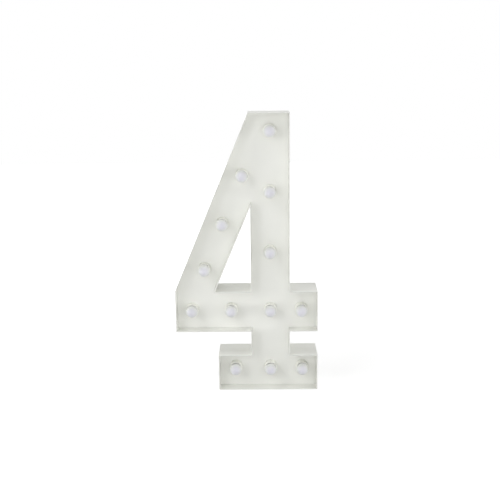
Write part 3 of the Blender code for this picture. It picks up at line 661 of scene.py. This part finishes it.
def holder_mesh(bore_end):
    """The moulded lampholder, from the bore's floor round the skirt to the saddle with its cable channel."""
    centre_y = on_axis(BULBS[0]).y
    seat, back = centre_y - PANEL_FRONT + SEAT_GAP, centre_y - PANEL_BACK - SEAT_GAP
    base_end = bore_end - HOLDER_BASE
    saddle_end = base_end - CABLE_CHANNEL
    lip = (SKIRT_RADIUS - MOUTH_RADIUS) / 2
    bore_top = -CAP_START - BORE_ROUNDING
    points = [(0.0, bore_end), (BORE_RADIUS, bore_end), (BORE_RADIUS, bore_top)]
    points += arc((BORE_RADIUS + BORE_ROUNDING, bore_top), BORE_ROUNDING, 180.0, 90.0, 3)[1:]
    points += arc((THROAT_RADIUS - THROAT_FILLET, THROAT_FILLET - CAP_START), THROAT_FILLET, -90.0, 0.0, 6)
    points += [(THROAT_RADIUS, -SKIRT_DROP - MOUTH_TAPER * lip)]
    points += arc((MOUTH_RADIUS + lip, -SKIRT_DROP - lip), lip, 180.0, 0.0, 8)
    points += [(SKIRT_RADIUS, seat + SKIRT_FOOT), (SKIRT_RADIUS, seat)]
    points += [(HOLDER_RADIUS, seat), (HOLDER_RADIUS, back)]
    points += [(HOLDER_RADIUS + BEAD_RISE, back - BEAD_RISE), (HOLDER_RADIUS, back - BEAD_LENGTH)]
    points += lower_rounding(HOLDER_RADIUS, base_end, HOLDER_ROUNDING)
    points += [(SADDLE_RADIUS, base_end)]
    points += lower_rounding(SADDLE_RADIUS, saddle_end, SADDLE_ROUNDING)
    points += [(0.0, saddle_end)]
    whole = linked("holder", turned("holder", points, THREAD_SEGMENTS))
    channel = bmesh.new()
    depth = CABLE_CHANNEL + OVERRUN
    add_box(channel, (2 * HOLDER_RADIUS, CABLE_CHANNEL, depth), (0.0, 0.0, base_end - depth / 2))
    tool = linked("cable_channel", mesh_of("cable_channel", channel))
    combine(whole, tool, "DIFFERENCE")
    return baked(whole, [tool])


def socket_shell_mesh(bore_end):
    """The lampholder's threaded metal shell, inside its bore."""
    start, end = -CAP_START - SHELL_BANDS[0], bore_end + SHELL_BANDS[1]
    points = column(BORE_RADIUS - SHELL_SLACK, start, end, SHELL_ROWS) + [(BORE_RADIUS - SHELL_EDGE, end)]
    thread = thread_wave(THREAD_PITCH, SHELL_THREAD_DEPTH, start, end)
    return turned("socket_shell", points, THREAD_SEGMENTS, thread)


def add_lampholders():
    """Lampholders with a rounded skirt, a threaded metal shell, a contact and a saddle for the cable."""
    bore_end = -CAP_END - SEAT_GAP
    holder, shell = holder_mesh(bore_end), socket_shell_mesh(bore_end)
    spring = [(radius, bore_end + up) for radius, up in SPRING_CONTACT]
    contact = turned("socket_contact", spring, SMALL_SEGMENTS)
    for node, heading in holder_headings().items():
        name, place = node.removeprefix("lampholder_"), on_axis(node)
        turn = (TO_FRONT, -heading, 0.0)
        pieces = [linked("holder_" + name, holder, WHITE_PLASTIC, place, turn),
                  linked("socket_shell_" + name, shell, BRASS, place, turn),
                  linked("socket_contact_" + name, contact, BRASS, place, turn)]
        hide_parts(node)
        for piece in pieces:
            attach(piece, TRAY)


def screw_thread(height, angle):
    """The screw's sharp thread, which grows from nothing under the head and stops short of the point."""
    if height >= 0.0 or height < SCREW_THREAD_END:
        return 0.0
    turns = height / SCREW_PITCH - angle / (2 * math.pi)
    crest = max(0.0, math.cos(2 * math.pi * turns)) ** 2
    return SCREW_THREAD_DEPTH * crest * min(1.0, -height / SCREW_THREAD_RUN_IN)


def screw_mesh():
    """A pan-head wood screw with a cross recess."""
    points = [(0.0, SCREW_HEAD_HEIGHT)]
    for step in SCREW_HEAD_STEPS:
        dome = SCREW_HEAD_EDGE + (1.0 - SCREW_HEAD_EDGE) * math.sqrt(1.0 - step**2)
        points.append((SCREW_HEAD_RADIUS * step, SCREW_HEAD_HEIGHT * dome))
    points += [(SCREW_HEAD_RADIUS, 0.0)]
    points += column(SCREW_SHANK_RADIUS, 0.0, SCREW_THREAD_END, SCREW_ROWS) + [(0.0, -SCREW_LENGTH)]
    whole = linked("cover_screw", turned("cover_screw", points, SMALL_SEGMENTS, screw_thread))
    recess = bmesh.new()
    for turn in (0.0, math.pi / 2):
        arm = add_box(recess, RECESS_SIZE, (0.0, 0.0, SCREW_HEAD_HEIGHT))
        bmesh.ops.rotate(recess, cent=(0.0, 0.0, 0.0), matrix=Matrix.Rotation(turn, 3, "Z"), verts=arm)
    tool = linked("cross_recess", mesh_of("cross_recess", recess))
    combine(whole, tool, "DIFFERENCE", crossing=True)
    return baked(whole, [tool])


def add_screws():
    """Screws through the rear cover into the blocks, each stopped at its own turn."""
    mesh = screw_mesh()
    for i, block in enumerate(BLOCKS):
        low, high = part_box(block)
        place = ((low.x + high.x) / 2, COVER_REAR, (low.z + high.z) / 2)
        turn = (-TO_FRONT, math.radians(SCREW_TURN_DEG * i), 0.0)
        screw = linked("cover_screw_" + block.removeprefix("block_"), mesh, ZINC, place, turn)
        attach(screw, TRAY)


def rounded_outline(corners):
    """Points of a closed outline from (x, z, radius) corners, each rounded by its radius."""
    points = []
    for i, (x, z, radius) in enumerate(corners):
        here = Vector((x, z))
        before = (Vector(corners[i - 1][:2]) - here).normalized()
        after = (Vector(corners[(i + 1) % len(corners)][:2]) - here).normalized()
        half_turn = before.angle(after) / 2
        centre = here + (before + after).normalized() * radius / math.sin(half_turn)
        start = here + before * radius / math.tan(half_turn)
        end = here + after * radius / math.tan(half_turn)
        for k in range(CORNER_STEPS + 1):
            spoke = (start - centre).lerp(end - centre, k / CORNER_STEPS).normalized()
            points.append(centre + spoke * radius)
    return points


def block_outline(x, z, half_x, half_z, corner):
    """Outline of a rectangle about (x, z) with rounded corners."""
    return rounded_outline([(x + a * half_x, z + b * half_z, corner) for a, b in CORNERS])


def socket_outline(x, z):
    """Outline of the inlet's socket about (x, z), chamfered at its upper corners."""
    half_x, half_z = SOCKET_WIDTH / 2, SOCKET_HEIGHT / 2
    low, high = SOCKET_CORNERS
    corners = [(-half_x, -half_z, low), (half_x, -half_z, low),
               (half_x, half_z - SOCKET_CHAMFER, high), (half_x - SOCKET_CHAMFER, half_z, high),
               (SOCKET_CHAMFER - half_x, half_z, high), (-half_x, half_z - SOCKET_CHAMFER, high)]
    return rounded_outline([(x + dx, z + dz, radius) for dx, dz, radius in corners])


def rocker_tools(x, face):
    """The pocket that the switch's rocker tilts in, and the bore for its pivot pins."""
    low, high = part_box("switch_rocker")
    z = (low.z + high.z) / 2
    half_x, half_z = (high.x - low.x) / 2 + POCKET_SLACK, ROCKER_WIDTH / 2 + POCKET_SLACK
    pocket = slab("pocket", block_outline(x, z, half_x, half_z, POCKET_CORNER), low.y - POCKET_FLOOR_GAP,
                  face + OVERRUN)
    half = (high.z - low.z) / 2 + SEAT_GAP
    ring = []
    for i in range(PIVOT_BORE_SIDES):
        angle = 2 * math.pi * i / PIVOT_BORE_SIDES
        ring.append((x + PIVOT_BORE_RADIUS * math.cos(angle),
                     face - PIVOT_DEPTH + PIVOT_BORE_RADIUS * math.sin(angle), z - half))
    return pocket, prism("pivot_bore", ring, (0.0, 0.0, 2 * half))


def housing_mesh(x, socket_z, face):
    """The inlet's housing with its rounded flange, hollow socket and rocker pocket."""
    low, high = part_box("power_inlet")
    z, half_x, half_z = (low.z + high.z) / 2, (high.x - low.x) / 2, (high.z - low.z) / 2
    body = block_outline(x, z, half_x - FLANGE_MARGIN, half_z - FLANGE_MARGIN, BODY_CORNER)
    whole = slab("inlet_housing", body, low.y, face - FLANGE_THICKNESS / 2)
    rim = block_outline(x, z, half_x, half_z, FLANGE_CORNER)
    flange = slab("flange", rim, face - FLANGE_THICKNESS, face)
    hollow = slab("hollow", socket_outline(x, socket_z), face - SOCKET_DEPTH, face + OVERRUN)
    cuts = [hollow, *rocker_tools(x, face)]
    combine(whole, flange, "UNION")
    for cut in cuts:
        combine(whole, cut, "DIFFERENCE")
    bevelled(whole, HOUSING_EDGE).angle_limit = math.radians(HOUSING_EDGE_ANGLE_DEG)
    return baked(whole, [flange, *cuts])


def pin_mesh(x, root, z):
    """A flat pin, which stands on the socket's floor at root and is tapered at its tip."""
    width, length, height = PIN_SIZE
    shape = bmesh.new()
    add_box(shape, (width, length + PIN_SEAT, height), (x, root + (length - PIN_SEAT) / 2, z))
    tip = [e for e in shape.edges if all(v.co.y > root + length / 2 for v in e.verts)]
    bmesh.ops.bevel(shape, geom=tip, offset=PIN_TAPER, segments=3, affect="EDGES", profile=0.5)
    return smooth(mesh_of("inlet_pin", shape))


def add_inlet():
    """The inlet's housing and its three plated pins."""
    low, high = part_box("power_inlet")
    x, face = (low.x + high.x) / 2, high.y
    socket_z = low.z + FLANGE_MARGIN + INLET_END_WALL + SOCKET_HEIGHT / 2
    piece = linked("inlet_housing", housing_mesh(x, socket_z, face), BLACK_PLASTIC)
    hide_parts("power_inlet")
    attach(piece, TRAY)
    for name, (dx, dz) in PIN_PLACES.items():
        pin = linked("inlet_pin_" + name, pin_mesh(x + dx, face - SOCKET_DEPTH, socket_z + dz), NICKEL)
        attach(pin, TRAY)


def add_stage():
    """A pale floor, which looks white where it isn't in shade."""
    mesh = bpy.data.meshes.new("floor")
    mesh.from_pydata([(a * FLOOR_HALF, b * FLOOR_HALF, 0.0) for a, b in CORNERS], [], [(0, 1, 2, 3)])
    g = Graph("floor_paper", FLOOR_COLOUR, 0.9, Specular_IOR_Level=0.1)
    g.roughness(g.clouds(3.0, 3.0, 0.5, to_low=0.86, to_high=0.94))
    seen = g.node("ShaderNodeLightPath").outputs["Is Camera Ray"]
    reach = g.node("ShaderNodeVectorMath", operation="LENGTH")
    g.link(g.place, reach.inputs[0])
    lift = g.spread(reach.outputs["Value"], *LIFT_REACH, to_low=FLOOR_LIFT)
    g.shader.inputs["Emission Color"].default_value = (1.0, 1.0, 1.0, 1.0)
    g.link(g.multiplied(seen, lift), g.shader.inputs["Emission Strength"])
    linked("floor", mesh, g.material)


def add_lights():
    """Square soft lights that face the middle of the numeral."""
    for name, (azimuth, height, size, power) in LIGHTS.items():
        around, up = math.radians(azimuth), math.radians(height)
        side = Vector((math.sin(around) * math.cos(up), -math.cos(around) * math.cos(up), math.sin(up)))
        data = bpy.data.lights.new(name, "AREA")
        data.shape = "SQUARE"
        data.size = size
        data.energy = power
        lamp = bpy.data.objects.new(name, data)
        lamp.location = NUMERAL_MIDDLE + side * LIGHT_DISTANCE
        lamp.rotation_euler = (-side).to_track_quat("-Z", "Y").to_euler()
        bpy.context.scene.collection.objects.link(lamp)


def add_world():
    """Even light from all round, and white where the camera or a reflection sees it."""
    world = bpy.data.worlds.new("studio")
    bpy.context.scene.world = world
    world.use_nodes = True
    tree = world.node_tree
    background = tree.nodes["Background"]
    background.inputs["Color"].default_value = (1.0, 1.0, 1.0, 1.0)
    path = tree.nodes.new("ShaderNodeLightPath")
    seen = path.outputs["Is Camera Ray"]
    for kind in ("Is Glossy Ray", "Is Transmission Ray"):
        either = tree.nodes.new("ShaderNodeMath")
        either.operation = "MAXIMUM"
        tree.links.new(seen, either.inputs[0])
        tree.links.new(path.outputs[kind], either.inputs[1])
        seen = either.outputs["Value"]
    level = tree.nodes.new("ShaderNodeMapRange")
    level.inputs["To Min"].default_value = AMBIENT
    level.inputs["To Max"].default_value = 1.0
    tree.links.new(seen, level.inputs["Value"])
    tree.links.new(level.outputs["Result"], background.inputs["Strength"])


def add_camera():
    """The photograph's camera, fitted to the numeral's edges."""
    data = bpy.data.cameras.new("camera")
    data.sensor_fit = "HORIZONTAL"
    data.sensor_width = SENSOR_WIDTH
    data.lens = FOCAL_PIXELS * SENSOR_WIDTH / PHOTO_PIXELS
    camera = bpy.data.objects.new("camera", data)
    yaw, pitch, roll = (math.radians(a) for a in (CAMERA_YAW_DEG, CAMERA_PITCH_DEG, CAMERA_ROLL_DEG))
    turn = Matrix.Rotation(yaw, 4, "Z") @ Matrix.Rotation(math.pi / 2 - pitch, 4, "X")
    turn = turn @ Matrix.Rotation(roll, 4, "Z")
    place = Vector((NUMERAL_LEFT + CAMERA_RIGHT, TRAY_FRONT - CAMERA_AHEAD, CAMERA_HEIGHT))
    camera.matrix_world = Matrix.Translation(place) @ turn
    bpy.context.scene.collection.objects.link(camera)
    bpy.context.scene.camera = camera


dress_frame()
add_bulbs()
add_lampholders()
add_screws()
add_inlet()
bevelled(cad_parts["switch_rocker"], ROCKER_ROUNDING).harden_normals = True
add_camera()
add_stage()
add_world()
add_lights()
bpy.context.scene.view_settings.view_transform = "Standard"
